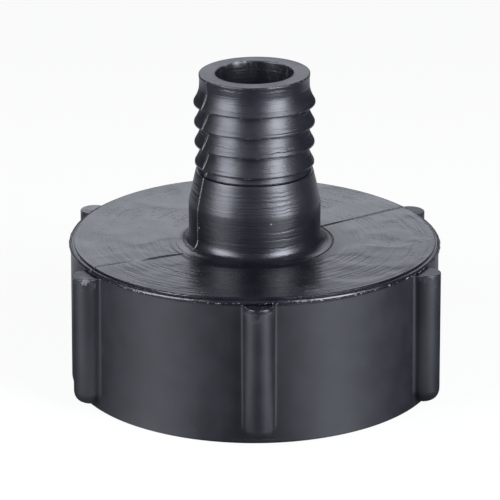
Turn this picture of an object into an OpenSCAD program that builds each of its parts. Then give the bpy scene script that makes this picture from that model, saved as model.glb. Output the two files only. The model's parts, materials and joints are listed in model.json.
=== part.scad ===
// Tap adapter for a bulk liquid container. A screw cap with a coarse buttress
// thread and six grip ribs carries a barbed hose tail, all moulded in one piece.
// A flat gasket lies inside, against the underside of the cap's disc.
// The open rim stands on z = 0, and the hose tail points up the Z axis.

/* [Thread] */
// Major diameter of the thread, at the roots of its grooves
thread_d = 60.4; // [54:0.2:66]
// Depth of the thread, from its roots to its crests
thread_depth = 2.2; // [1.4:0.1:2.6]
// Rise of the thread in one turn
thread_pitch = 6; // [4.8:0.2:8]
// Width of the groove at its root
groove_w = 1.5; // [0.8:0.1:2]
// Slope of the flank that pulls the cap down
load_flank = 3; // [0:1:10]
// Slope of the flank that lets the cap slip on
lead_flank = 30; // [15:1:35]
// Height of the threaded wall
thread_h = 18.4; // [13:0.2:30]
// Height of the plain mouth below the thread
entry_h = 2; // [1:0.25:4]
// Height of the chamfer that leads into the thread
lead_in = 1.2; // [0.5:0.1:2]
// How far the plain mouth and the gasket seat stand outside the thread's roots
relief = 0.2; // [0.1:0.05:0.5]

/* [Cap] */
// Thickness of the wall outside the thread's roots, at the open rim
wall_t = 6.3; // [4:0.1:9]
// How much the wall leans in from the rim up to the parting ridge
wall_draft = 0.45; // [0:0.05:1]
// Thickness of the disc that closes the cap
disc_t = 4.5; // [3:0.05:7]
// Radius of the small round at the rim's outer edge
rim_round = 0.5; // [0.2:0.1:1]
// How far the parting ridge stands proud of the wall
ridge_w = 0.35; // [0.1:0.05:0.8]
// Height of the parting ridge's small land
ridge_land = 0.25; // [0.1:0.05:0.5]
// Width of the sloping shoulder between the ridge and the disc
shoulder_w = 0.9; // [0.5:0.1:3]
// Height of the sloping shoulder between the ridge and the disc
shoulder_h = 0.85; // [0.6:0.05:2.5]

/* [Grip ribs] */
// Number of ribs round the cap
rib_count = 6; // [3:1:12]
// Width of a rib
rib_w = 5.65; // [3.6:0.05:7]
// How far a rib stands out of the wall
rib_reach = 4.15; // [3:0.05:7]
// Height of a rib's round foot above the open rim
rib_foot = 1; // [0.5:0.1:6]
// How far a rib's flat top lies below the parting ridge
rib_drop = 0.1; // [0.05:0.05:3]

/* [Hose tail] */
// Diameter of the bore
bore_d = 15; // [9:0.25:20]
// Wall of the tail at its plain lip
tail_wall = 3.15; // [2:0.05:5]
// Height of the plain lip at the mouth
lip_h = 2.15; // [1:0.05:5]
// Height of the flare from the lip down to the first barb
flare_h = 3.4; // [2:0.1:6]
// Number of barbs
barb_count = 4; // [2:1:7]
// Distance from one barb to the next
barb_pitch = 4; // [3:0.1:6]
// How far a barb stands out of the plain lip
barb_rise = 1; // [0.5:0.05:1.8]
// How much deeper than the plain lip the notch under a barb is
notch_depth = 0.4; // [0:0.05:0.8]
// How much a barb's underside slopes down on its way in to the notch
barb_under = 0.15; // [0.05:0.05:0.5]
// How hollow a barb's flank is, from 0, straight, to 1
flank_hollow = 0.5; // [0:0.05:1]
// Height of the small flat land on each crest
crest_land = 0.4; // [0.3:0.05:0.8]
// Height of the neck under the last barb
neck_h = 1.5; // [1:0.05:3]
// How far the foot of the neck stands out of the plain lip
neck_rise = 0.45; // [0.2:0.05:0.8]
// How far the cone's sharp upper edge stands out of the neck
ledge_w = 0.35; // [0.1:0.05:0.6]
// Height of the cone between the neck and the base
cone_h = 6.9; // [4:0.1:12]
// How far the base stands out of the plain lip
base_rise = 2.25; // [1.3:0.05:4]
// Height of the base between the cone and the root's fillet
base_h = 4.4; // [1:0.05:15]
// Radius of the fillet at the tail's root
root_r = 2.3; // [1:0.1:4]
// Width of the chamfers at the mouth
mouth_chamfer = 0.35; // [0.1:0.05:0.6]
// How much wider the bore is at its inner end
throat_flare = 2; // [0.5:0.1:4]

/* [Gasket] */
// Thickness of the gasket
gasket_t = 3; // [2:0.1:5]
// Diameter of the hole in the gasket
gasket_hole_d = 44; // [32:0.5:50]
// Room round the gasket in its seat
gasket_gap = 0.3; // [0.1:0.05:0.6]
// Height of the seat that the gasket leaves free above the thread
seat_play = 0.6; // [0.3:0.05:1.5]
// Chamfer on the gasket's edges
gasket_chamfer = 0.25; // [0.1:0.05:0.5]

/* [Hidden] */
$fn = 96;

// Steps in one turn of the thread, and in one curve of the outline
thread_steps = 40;
curve_steps = 7;
// How far a cutting shape runs past what it cuts
over = 0.3;
// How deep a rib is rooted in the wall, and how much its web is set in from its nose
rib_root = 1.5;
web_inset = 0.05;
// Share of the cone's height over which it eases into the base
cone_ease = 0.12;

// Radii of the cap
thread_r = thread_d / 2;
crest_r = thread_r - thread_depth;
seat_r = thread_r + relief;
rim_r = thread_r + wall_t;
wall_top_r = rim_r - wall_draft;
ridge_r = wall_top_r + ridge_w;
disc_r = ridge_r - shoulder_w;

// Heights of the cap, added up from the open rim
thread_top = entry_h + thread_h;
disc_under = thread_top + seat_play + gasket_t;
disc_top = disc_under + disc_t;
ridge_z = disc_top - shoulder_h;
rib_top = ridge_z - ridge_land - rib_drop;

// Radii of the hose tail
bore_r = bore_d / 2;
throat_r = bore_r + throat_flare;
lip_r = bore_r + tail_wall;
barb_r = lip_r + barb_rise;
notch_r = lip_r - notch_depth;
neck_r = lip_r + neck_rise;
ledge_r = neck_r + ledge_w;
base_r = lip_r + base_rise;

// Heights of the hose tail, added up from the disc. A barb's height is its crest's lower edge.
cone_z = disc_top + root_r + base_h;
neck_z = cone_z + cone_h;
last_barb_z = neck_z + neck_h;
first_barb_z = last_barb_z + (barb_count - 1) * barb_pitch;
lip_z = first_barb_z + crest_land + flare_h;
mouth_z = lip_z + lip_h;

// How far the groove's two flanks spread from its root to the cutter's inner edge
cut_depth = thread_depth + over;
load_spread = groove_w / 2 + cut_depth * tan(load_flank);
lead_spread = groove_w / 2 + cut_depth * tan(lead_flank);

// Points of a hollow flank that widens from r_in, at z_high, to the crest, at z_low
function flank(r_in, z_high, z_low, hollow) = [
    for (i = [0 : curve_steps])
        let (t = i / curve_steps)
        [r_in + (barb_r - r_in) * t * (1 - hollow + hollow * t), z_high + (z_low - z_high) * t]
];

// Outline of barb number i, counted down from the mouth: flank, land and the crest's lower edge
function barb(i) =
    let (crest_z = first_barb_z - i * barb_pitch, crest_top = crest_z + crest_land)
    concat(
        i == 0
            ? flank(lip_r, lip_z, crest_top, 1)
            : flank(notch_r, crest_z + barb_pitch - barb_under, crest_top, flank_hollow),
        [[barb_r, crest_z]]
    );

// Outline of all the barbs, from the first down to the last
function barbs() = [for (i = [0 : barb_count - 1]) each barb(i)];

// Outline of the neck, a short taper under the last barb
function neck() = [[lip_r, last_barb_z - barb_under], [neck_r, neck_z]];

// Outline of the cone: a straight taper that eases into the base through a hyperbola
function cone_side() = [
    for (i = [0 : 2 * curve_steps])
        let (
            t = 1 - i / (2 * curve_steps),
            eased = (sqrt(t * t + cone_ease * cone_ease) - cone_ease)
                / (sqrt(1 + cone_ease * cone_ease) - cone_ease)
        )
        [base_r - (base_r - ledge_r) * eased, cone_z + cone_h * t]
];

// Outline of the fillet at the tail's root, a quarter of a circle
function root_fillet() = [
    for (i = [0 : curve_steps])
        let (a = 90 * i / curve_steps)
        [base_r + root_r - root_r * cos(a), disc_top + root_r - root_r * sin(a)]
];

// Outside of the whole moulding, from the mouth down to the open rim
function outside() = concat(
    [[lip_r - mouth_chamfer, mouth_z], [lip_r, mouth_z - mouth_chamfer]],
    barbs(),
    neck(),
    cone_side(),
    root_fillet(),
    [
        [disc_r, disc_top],
        [ridge_r, ridge_z],
        [ridge_r, ridge_z - ridge_land],
        [wall_top_r, ridge_z - ridge_land],
        [rim_r, rim_round]
    ],
    [for (i = [1 : curve_steps])
        let (a = 90 * i / curve_steps)
        [rim_r - rim_round + rim_round * cos(a), rim_round - rim_round * sin(a)]]
);

// Inside of the whole moulding, from the open rim up to the mouth
function inside() = [
    [seat_r + mouth_chamfer, 0],
    [seat_r, mouth_chamfer],
    [seat_r, entry_h],
    [crest_r, entry_h + lead_in],
    [crest_r, thread_top],
    [seat_r, thread_top],
    [seat_r, disc_under],
    [throat_r, disc_under],
    [bore_r, cone_z],
    [bore_r, mouth_z - mouth_chamfer],
    [bore_r + mouth_chamfer, mouth_z]
];

// Cutter for the thread's groove: a trapezoid carried up a right-hand helix
module groove_cutter() {
    z_start = -lead_spread - over;
    z_end = disc_under - lead_spread - over;
    rings = ceil((z_end - z_start) / thread_pitch * thread_steps);
    section = [
        [crest_r - over, -load_spread],
        [thread_r, -groove_w / 2],
        [thread_r, groove_w / 2],
        [crest_r - over, lead_spread]
    ];
    points = [
        for (i = [0 : rings])
            let (z = z_start + (z_end - z_start) * i / rings, a = 360 * z / thread_pitch)
            for (p = section)
                [p[0] * cos(a), p[0] * sin(a), z + p[1]]
    ];
    sides = [
        for (i = [0 : rings - 1], k = [0 : 3])
            let (a = 4 * i + k, b = 4 * i + (k + 1) % 4)
            each [[a, b, b + 4], [a, b + 4, a + 4]]
    ];
    ends = [[3, 2, 1, 0], [for (k = [0 : 3]) 4 * rings + k]];
    polyhedron(points = points, faces = concat(sides, ends), convexity = 10);
}

// Nose of a rib: a post with a round foot
module rib_nose() {
    foot_r = rib_w / 2;
    rotate_extrude()
        polygon(concat(
            [for (i = [0 : curve_steps])
                let (a = 90 * i / curve_steps)
                [foot_r * sin(a), rib_foot + foot_r - foot_r * cos(a)]],
            [[foot_r, rib_top], [0, rib_top]]
        ));
}

// Web of a rib, from inside the cap's wall out to the middle of its nose
module rib_web(length) {
    web_r = rib_w / 2 - web_inset;
    foot_z = rib_foot + rib_w / 2;
    rotate([90, 0, 90])
        linear_extrude(height = length)
            union() {
                translate([0, foot_z])
                    circle(r = web_r);
                translate([-web_r, foot_z])
                    square([2 * web_r, rib_top - foot_z]);
            }
}

// One grip rib, standing out of the wall along +X
module rib() {
    nose_x = wall_top_r + rib_reach - rib_w / 2;
    root_x = wall_top_r - rib_root;
    translate([nose_x, 0, 0])
        rib_nose();
    translate([root_x, 0, 0])
        rib_web(nose_x - root_x);
}

// The moulding: cap, thread, grip ribs and barbed hose tail in one piece
module adapter() {
    color([0.13, 0.135, 0.15]) {
        difference() {
            rotate_extrude()
                polygon(concat(outside(), inside()));
            groove_cutter();
        }
        for (i = [0 : rib_count - 1])
            rotate([0, 0, -90 + 360 * i / rib_count])
                rib();
    }
}

// The flat gasket, lying against the underside of the disc
module gasket() {
    outer_r = seat_r - gasket_gap;
    hole_r = gasket_hole_d / 2;
    bottom = disc_under - gasket_t;
    c = gasket_chamfer;
    color([0.05, 0.05, 0.055])
        rotate_extrude()
            polygon([
                [hole_r + c, bottom],
                [outer_r - c, bottom],
                [outer_r, bottom + c],
                [outer_r, disc_under - c],
                [outer_r - c, disc_under],
                [hole_r + c, disc_under],
                [hole_r, disc_under - c],
                [hole_r, bottom + c]
            ]);
}

adapter();
gasket();
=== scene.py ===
# %% [markdown]
# The object is a tap adapter: a black screw cap with a barbed hose tail, moulded in one piece,
# and a flat rubber gasket inside. The imported model fixes where everything is and how big it is.
# This lesson dresses it: each solid gets a finer surface that keeps its form, and each surface gets
# a finish. So the first cell loads the frame and gives a way to read each part's box.

# %% Load the frame
import json
import math
from functools import reduce

import bmesh
import bpy
import numpy as np
from mathutils import Matrix, Vector


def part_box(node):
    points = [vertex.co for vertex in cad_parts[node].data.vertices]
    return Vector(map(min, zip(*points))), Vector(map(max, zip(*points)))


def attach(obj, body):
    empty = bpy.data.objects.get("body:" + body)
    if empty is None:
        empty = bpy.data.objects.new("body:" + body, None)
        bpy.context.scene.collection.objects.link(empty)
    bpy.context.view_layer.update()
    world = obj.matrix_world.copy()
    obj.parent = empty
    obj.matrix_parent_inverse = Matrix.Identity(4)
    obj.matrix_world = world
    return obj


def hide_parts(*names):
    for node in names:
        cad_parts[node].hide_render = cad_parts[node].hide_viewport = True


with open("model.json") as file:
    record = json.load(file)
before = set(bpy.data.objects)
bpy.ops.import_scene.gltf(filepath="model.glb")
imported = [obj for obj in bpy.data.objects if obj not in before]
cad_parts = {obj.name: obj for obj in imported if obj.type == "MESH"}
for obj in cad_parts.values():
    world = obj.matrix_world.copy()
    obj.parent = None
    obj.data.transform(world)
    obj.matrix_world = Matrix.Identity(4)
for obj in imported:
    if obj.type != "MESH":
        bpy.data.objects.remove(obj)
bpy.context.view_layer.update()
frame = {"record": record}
MM = 0.001
mounts = {mount["name"]: mount for mount in frame["record"]["mounts"]}

# %% [markdown]
# The camera stands where the photographer's did: a little to the left of the front rib, looking
# down at about twenty degrees from a distance of six times the object's size. Its place follows
# from the ellipses of the rim, the disc and the mouth, whose width and height give the angle.

# %% Camera
PHOTO_WIDTH = 500
FOCAL_PX = 2439
CAMERA_DISTANCE = 480 * MM
CAMERA_LIFT = math.radians(19.8)
CAMERA_TURN = math.radians(-1.07)
CAMERA_ROLL = math.radians(-0.13)
AIM_SIDE = -0.92 * MM
AIM_HEIGHT = 25.29 * MM
SENSOR = 36


def in_scene(name, data):
    """A new object for some data, in the scene."""
    made = bpy.data.objects.new(name, data)
    bpy.context.scene.collection.objects.link(made)
    return made


def looking_at(aim, turn, lift, distance):
    """Matrix that puts a camera or lamp at a distance from a point and aims it there: the turn
    goes round the upright axis from the front, and the lift up from the level."""
    level = math.cos(lift)
    back = Vector((math.sin(turn) * level, -math.cos(turn) * level, math.sin(lift)))
    facing = (-back).to_track_quat("-Z", "Y").to_matrix().to_4x4()
    return Matrix.Translation(aim + back * distance) @ facing


def photo_camera():
    """The camera aims at a point beside the axis, and is rolled a trace."""
    data = bpy.data.cameras.new("photo_camera")
    data.sensor_width = SENSOR
    data.lens = FOCAL_PX * SENSOR / PHOTO_WIDTH
    data.clip_start, data.clip_end = 0.01, 20
    camera = in_scene("photo_camera", data)
    aim = Matrix.Rotation(CAMERA_TURN, 4, "Z") @ Vector((AIM_SIDE, 0, AIM_HEIGHT))
    place = looking_at(aim, CAMERA_TURN, CAMERA_LIFT, CAMERA_DISTANCE)
    camera.matrix_world = place @ Matrix.Rotation(CAMERA_ROLL, 4, "Z")
    bpy.context.scene.camera = camera
    return camera


camera = photo_camera()
print("camera at", [round(c, 3) for c in camera.matrix_world.translation])

# %% [markdown]
# Every size below is in millimetres and repeats the solid's. What the frame knows is read from
# it: the rim, the height, the rib tips and the gasket from the boxes, and the barbs, bore and
# thread from the mounts. The rest are the moulding's own small steps, ridges and rounds.

# %% Sizes
def mount_size(name):
    """Radius, length and height of a mount's middle."""
    mount = mounts[name]
    return mount["dims"]["r_mm"], mount["dims"]["length_mm"], mount["pos_m"][2] / MM


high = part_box("adapter")[1] / MM
gasket_low, gasket_high = (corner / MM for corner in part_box("gasket"))
RIM_R, TIP_R, MOUTH_Z = high
BARB_R, BARB_SPAN, BARB_MID_Z = mount_size("hose_tail")
BORE_R, BORE_LENGTH, BORE_MID_Z = mount_size("flow_bore")
THREAD_R, THREAD_LENGTH, THREAD_MID_Z = mount_size("tap_thread")
BORE_Z = BORE_MID_Z - BORE_LENGTH / 2
SEAT_Z = gasket_high.z

LIP_R = BARB_R - 1
LIP_Z = MOUTH_Z - 2.15
NOTCH_R = LIP_R - 0.4
BARB_COUNT = 4
CREST_LAND = 0.4
BARB_PITCH = (BARB_SPAN - CREST_LAND) / (BARB_COUNT - 1)
FIRST_CREST_Z = BARB_MID_Z + BARB_SPAN / 2 - CREST_LAND
BARB_UNDER = 0.15
NECK_R = LIP_R + 0.45
NECK_Z = BORE_Z + 6.9
LEDGE_R = NECK_R + 0.35
BASE_R = LIP_R + 2.25
CONE_EASE = 0.12
ROOT_ROUND = 2.3
DISC_Z = SEAT_Z + 4.5
WALL_TOP_R = RIM_R - 0.45
RIDGE_R = WALL_TOP_R + 0.35
RIDGE_Z = DISC_Z - 0.85
RIDGE_LAND = 0.25
DISC_R = RIDGE_R - 0.9
THROAT_R = BORE_R + 2

RIB_COUNT = 6
RIB_W = 5.65
RIB_FOOT = 1.0
RIB_TOP = RIDGE_Z - RIDGE_LAND - 0.1
RIB_ROOT_ROUND = 0.65

PITCH = 6
THREAD_TOP = THREAD_MID_Z + THREAD_LENGTH / 2
ENTRY_Z = 2
LEAD_IN = 1.2
ROOT_R = THREAD_R + 2.2
SEAT_R = ROOT_R + 0.2
print("disc, ridge and barb pitch:", [round(size, 2) for size in (DISC_Z, RIDGE_Z, BARB_PITCH)])

# %% [markdown]
# A moulding like this is one skin. It could be cut from cylinders with booleans, but their thin
# triangles shade badly, and every edge would stay knife-sharp. Instead the whole skin is one
# grid: its rows follow the outline down the outside, round the rim, up the inside and back to
# the mouth, and its columns go round the axis. A row is a height and a radius, so rounds, barbs
# and steps are just more rows. These helpers make such stretches of outline.

# %% Outline helpers
def line(start, end, steps):
    """Straight stretch: points spread evenly from start to end, without the end itself."""
    t = np.arange(steps)[:, None] / steps
    return np.array(start, float) * (1 - t) + np.array(end, float) * t


def arc(centre, radius, start, end, steps):
    """Round stretch: centre plus radius times cosine and sine of an angle swept in degrees."""
    a = np.radians(np.linspace(start, end, steps + 1))
    return np.stack([centre[0] + radius * np.cos(a), centre[1] + radius * np.sin(a)], axis=1)


def bend(start, corner, end, steps):
    """Rounded corner: the parabola that leaves start towards the corner and ends at the end."""
    t = np.linspace(0, 1, steps + 1)[:, None]
    start, corner, end = (np.array(p, float) for p in (start, corner, end))
    return start * (1 - t) ** 2 + 2 * corner * t * (1 - t) + end * t**2


def flank(r_in, r_out, z_high, z_low, hollow, steps):
    """Upper side of a barb: its radius grows by t times (1 - hollow + hollow t), so a hollow of
    one leaves the lip without a corner, and a hollow of none is a straight cone."""
    t = np.arange(steps) / steps
    radius = r_in + (r_out - r_in) * t * (1 - hollow + hollow * t)
    return np.stack([radius, z_high + (z_low - z_high) * t], axis=1)


def cone_side(steps):
    """Cone: a straight taper eased into the base by a hyperbola, as the square root of t squared
    plus the ease squared."""
    t = 1 - np.arange(steps) / steps
    scale = math.sqrt(1 + CONE_EASE**2) - CONE_EASE
    eased = (np.sqrt(t**2 + CONE_EASE**2) - CONE_EASE) / scale
    return np.stack([BASE_R - (BASE_R - LEDGE_R) * eased, BORE_Z + (NECK_Z - BORE_Z) * t], axis=1)


# %% [markdown]
# The tail's barbs are saw teeth. Each has a hollow upper flank that a hose slides down over, a
# narrow land at its crest, and a crisp, nearly level underside that holds the hose. The crests
# of a real moulding aren't all alike, so the mouth's is a tenth of a millimetre larger. Below
# them come a neck, a fine groove, a sharp ledge, a cone and a plain base.

# %% Outline of the hose tail
CHAMFER = 0.35
MOUTH_FLARE = 0.08
CREST_EXTRA = (0.12, 0.03, 0.0, -0.04)
FLARE_HOLLOW = 1.0
FLANK_HOLLOW = 0.5
DISH = 1.0
ROOT_Z = DISC_Z - DISH


def crest(r_out, r_in, z_low):
    """End of a flank, the crest's land, its sharp lower edge, its underside and the notch."""
    z_high = z_low + CREST_LAND
    return np.concatenate([
        bend((r_out - 0.1, z_high + 0.16), (r_out, z_high), (r_out, z_high - 0.14), 3),
        [(r_out, z_low + 0.05), (r_out - 0.015, z_low + 0.015), (r_out - 0.05, z_low)],
        [(r_in + 0.25, z_low - 0.08), (r_in + 0.08, z_low - BARB_UNDER + 0.02)],
    ])


def barb_outline():
    """The flare out of the lip to the first crest, and the three barbs under it."""
    stretches = []
    r_in, z_in, hollow = LIP_R, LIP_Z, FLARE_HOLLOW
    for number in range(BARB_COUNT):
        r_out = BARB_R + CREST_EXTRA[number]
        z_low = FIRST_CREST_Z - number * BARB_PITCH
        z_high = z_low + CREST_LAND + 0.16
        stretches.append(flank(r_in, r_out - 0.1, z_in, z_high, hollow, 8))
        last = number == BARB_COUNT - 1
        stretches.append(crest(r_out, LIP_R if last else NOTCH_R, z_low))
        r_in, z_in, hollow = NOTCH_R, z_low - BARB_UNDER, FLANK_HOLLOW
    return np.concatenate(stretches)


def tail_outline():
    """From the bore's chamfer over the lip, down the barbs, neck, cone and base to the disc."""
    edge = LIP_R + MOUTH_FLARE
    neck = (0, NECK_Z) + np.array([
        (LIP_R, 1.32), (LIP_R + 0.08, 1.0), (LIP_R + 0.3, 0.62), (NECK_R, 0.34),
        (NECK_R - 0.06, 0.29), (NECK_R - 0.3, 0.25), (NECK_R - 0.3, 0.06), (NECK_R - 0.22, 0.01),
        (LEDGE_R - 0.06, 0), (LEDGE_R - 0.02, -0.02), (LEDGE_R + 0.01, -0.07),
    ])
    return np.concatenate([
        line((BORE_R + CHAMFER, MOUTH_Z), (edge - 0.22, MOUTH_Z), 4),
        bend((edge - 0.22, MOUTH_Z), (edge, MOUTH_Z), (edge, MOUTH_Z - 0.22), 4),
        line((edge - 0.01, MOUTH_Z - 0.4), (LIP_R, MOUTH_Z - 1.1), 2),
        line((LIP_R, MOUTH_Z - 1.1), (LIP_R, LIP_Z), 2),
        barb_outline(),
        neck,
        cone_side(13)[1:],
        line((BASE_R, BORE_Z - 0.4), (BASE_R, ROOT_Z + ROOT_ROUND + 0.3), 3),
        arc((BASE_R + ROOT_ROUND, ROOT_Z + ROOT_ROUND), ROOT_ROUND, 180, 268, 9),
    ])


tail_rows = tail_outline()
print("tail outline:", len(tail_rows), "rows from", tail_rows[0], "to", tail_rows[-1])

# %% [markdown]
# The disc isn't flat: it sinks about a millimetre from its edge to the tail's root, as a thick
# moulding does when it cools, and its shadows in the photograph bend with it. A fine ring runs
# round the root. At the disc's edge come a crease, a narrow rounded shoulder and the thin flash
# ridge where the mould's halves met. Each of them catches a line of light.

# %% Outline of the disc, ridge, wall and rim
RING_R = BASE_R + ROOT_ROUND + 0.2
RING_DEPTH = 0.3
CREASE = 0.42
RIM_ROUND = 0.5


def sunk(radius):
    """Height of the sunk disc: it falls evenly from its edge to the tail's root."""
    return DISC_Z - DISH * np.clip((DISC_R - radius) / (DISC_R - BASE_R - ROOT_ROUND), 0, 1)


def disc_outline():
    """From the tail's root over the ring's place to the crease, and down the shoulder to the
    ridge. The ring's rows lie level here and are sunk later, round a part of the turn."""
    ring = RING_R + np.array([-0.2, -0.07, 0.07, 0.2, 0.4])
    edge = np.array([(-1.6, 0), (-0.9, 0), (-0.5, 0.01), (-0.3, 0.015), (-0.14, -0.01)])
    crease = np.array([
        (-0.04, -0.08), (0.0, -CREASE), (0.28, -CREASE - 0.02), (0.34, -CREASE + 0.04),
    ])
    low_edge = (RIDGE_R - 0.12, RIDGE_Z + 0.14)
    shoulder = bend((DISC_R + 0.4, DISC_Z - 0.34), (RIDGE_R - 0.14, DISC_Z - 0.42), low_edge, 5)
    between = np.linspace(RING_R + 1.2, DISC_R - 2.6, 8)
    return np.concatenate([
        np.stack([ring, sunk(ring)], axis=1),
        np.stack([between, sunk(between)], axis=1),
        edge + np.stack([np.full(len(edge), DISC_R), sunk(DISC_R + edge[:, 0])], axis=1),
        crease + (DISC_R, DISC_Z),
        shoulder,
        [(RIDGE_R - 0.07, RIDGE_Z + 0.05), (RIDGE_R, RIDGE_Z + 0.01), (RIDGE_R, RIDGE_Z - 0.12)],
        [(RIDGE_R - 0.1, RIDGE_Z - 0.2), (WALL_TOP_R, RIDGE_Z - RIDGE_LAND - 0.02)],
    ])


def wall_radius(z):
    """The wall leans in evenly from the rim's radius at z = 0 to its radius under the ridge."""
    return RIM_R + (WALL_TOP_R - RIM_R) * z / (RIDGE_Z - RIDGE_LAND)


def rim_outline():
    """From under the ribs' feet round the rim's outer edge and across its flat bottom."""
    start = RIB_FOOT - 0.12
    return np.concatenate([
        line((wall_radius(start), start), (wall_radius(RIM_ROUND), RIM_ROUND), 2),
        arc((RIM_R - RIM_ROUND, RIM_ROUND), RIM_ROUND, 0, -90, 5),
        line((RIM_R - 1.2, 0), (SEAT_R + CHAMFER, 0), 3),
    ])


# %% [markdown]
# The grip ribs break the round outline: seen from above, each is a half-round nose on two
# parallel sides, with a small fillet at its root. So a column isn't an angle but a place along
# that plan, and the same columns run on over the disc and up the tail as plain angles. A rib's
# section shrinks to nothing at its round foot, and stops flat at its top.

# %% Plan of a rib
NOSE_STEPS = 10
SIDE_STEPS = 1
ROOT_STEPS = 5
GAP_COLUMNS = 20
RIB_SPAN = math.radians(6)
RIB_LEAN = 0.013
LEAN_MID_Z = 14


def rib_half_plan(radius, stand, wall, lean):
    """Half of a rib's plan, from its tip to the wall, for arrays of nose radius, of stand (1 for
    a whole rib, 0 for none), of wall radius and of lean. The nose is a circle, the side is
    straight, the root a quarter circle, and the last point lies on the wall."""
    radius, stand, wall, lean = (
        np.array(numbers, float).reshape(-1, 1) for numbers in (radius, stand, wall, lean)
    )
    centre = TIP_R - RIB_W / 2 + lean
    swing = np.radians(np.concatenate([[0, 3], np.linspace(0, 90, NOSE_STEPS + 1)[1:]]))
    nose_x = centre + radius * np.cos(swing)
    nose_y = radius * np.sin(swing)
    fillet_y = radius + RIB_ROOT_ROUND
    fillet_x = np.sqrt((wall + RIB_ROOT_ROUND) ** 2 - fillet_y**2)
    t = np.arange(1, SIDE_STEPS + 1) / (SIDE_STEPS + 1)
    side_x = centre + (fillet_x - centre) * t
    side_y = radius + 0 * t
    to_wall = np.pi / 2 - np.arctan2(fillet_y, fillet_x)
    sweep = to_wall * np.linspace(0, 1, ROOT_STEPS + 1)
    root_x = fillet_x - RIB_ROOT_ROUND * np.sin(sweep)
    root_y = fillet_y - RIB_ROOT_ROUND * np.cos(sweep)
    x = np.concatenate([nose_x, side_x, root_x], axis=1)
    y = np.concatenate([nose_y, side_y, root_y], axis=1)
    reach = wall + (np.maximum(np.hypot(x, y), wall) - wall) * stand
    angle = np.concatenate([np.arctan2(y, x), np.full_like(wall, RIB_SPAN)], axis=1)
    return angle, np.concatenate([reach, wall], axis=1)


def full_plan(radius, stand, wall, lean=0.0):
    """Angles and radii of whole rows: half plans mirrored at each rib, with even steps between."""
    angle, reach = rib_half_plan(radius, stand, wall, lean)
    pitch = 2 * math.pi / RIB_COUNT
    t = np.arange(1, GAP_COLUMNS + 1) / (GAP_COLUMNS + 1)
    gap = np.broadcast_to(RIB_SPAN + (pitch - 2 * RIB_SPAN) * t, (len(angle), GAP_COLUMNS))
    gap_reach = np.repeat(reach[:, -1:], GAP_COLUMNS, axis=1)
    angle = np.concatenate([-angle[:, :0:-1], angle, gap], axis=1)
    reach = np.concatenate([reach[:, :0:-1], reach, gap_reach], axis=1)
    angles = np.concatenate([angle + rib * pitch for rib in range(RIB_COUNT)], axis=1)
    angles = np.concatenate([angles, angles[:, :1] + 2 * math.pi], axis=1)
    return angles, np.concatenate([reach] * RIB_COUNT + [reach[:, :1]], axis=1)


base_angles = full_plan(RIB_W / 2, 0, WALL_TOP_R)[0][0]
print("columns round the axis:", len(base_angles))

# %% Rows of the ribbed wall
TOP_EDGE = 0.22
FOOT_STEPS = 10


def rib_rows():
    """Heights, nose radii and stands of the rows from the ribs' flat tops to under their feet.
    In the foot the nose's radius follows a quarter circle, and the web's underside rounds off
    by a steep power of the same sweep."""
    nose = RIB_W / 2
    foot_top = RIB_FOOT + nose
    heights = [RIB_TOP, RIB_TOP, RIB_TOP - 0.03, RIB_TOP - 0.1, RIB_TOP - TOP_EDGE]
    radii = [nose - TOP_EDGE, nose - TOP_EDGE, nose - 0.12, nose - 0.03, nose]
    stands = [0, 1, 1, 1, 1]
    t = np.linspace(0, 1, 8)[1:]
    down = RIB_TOP - TOP_EDGE + (foot_top - RIB_TOP + TOP_EDGE) * t
    sweep = np.sin(np.radians(np.linspace(0, 90, FOOT_STEPS + 1)[1:]))
    heights = np.concatenate([heights, down, foot_top - nose * sweep])
    radii = np.concatenate([radii, np.full_like(t, nose), nose * np.sqrt(1 - sweep**2)])
    stands = np.concatenate([stands, np.ones_like(t), np.sqrt(1 - sweep**8)])
    return heights, np.maximum(radii, 0.02), stands


def placed(turn, reach, height):
    """Grid of points from arrays of turns, distances from the axis and heights."""
    parts = np.broadcast_arrays(reach * np.sin(turn), -reach * np.cos(turn), height)
    return np.stack(parts, axis=-1)


def ribbed_wall():
    """Points of the wall's rows: each row's plan at its height."""
    heights, radii, stands = rib_rows()
    lean = RIB_LEAN * (LEAN_MID_Z - heights)
    angles, reaches = full_plan(radii, stands, wall_radius(heights), lean)
    return placed(angles, reaches, heights[:, None])


def turned(outline):
    """Points of plain rows: an outline of radii and heights carried round the axis."""
    return placed(base_angles, outline[:, :1], outline[:, 1:])


wall_grid = ribbed_wall()
widest = float(np.abs(wall_grid[..., 1]).max())
print("ribbed wall:", wall_grid.shape[0], "rows, widest", round(widest, 2))

# %% [markdown]
# The thread can't be made of level rows: its groove climbs six millimetres a turn. Its rows
# climb with it, so they keep to the groove's corners, and they are held between the plain mouth
# and the gasket's seat. After one turn each row meets another one, a pitch higher, exactly. So
# when points that lie together are merged, the helix closes without a seam.

# %% Thread
GROOVE = np.array([
    (-0.95, 0), (-0.87, 0.12), (-0.79, 0.82), (-0.66, 0.97), (-0.4, 1), (0.4, 1),
    (0.66, 0.97), (0.85, 0.88), (1.9, 0.08), (2.15, 0), (3.6, 0),
])


def groove_depth(phase):
    """Share of the thread's depth at a height above the groove's middle, repeated each pitch."""
    wrapped = np.mod(phase - GROOVE[0, 0], PITCH) + GROOVE[0, 0]
    at = np.append(GROOVE[:, 0], GROOVE[0, 0] + PITCH)
    share = np.append(GROOVE[:, 1], GROOVE[0, 1])
    return np.interp(wrapped, at, share)


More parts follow.
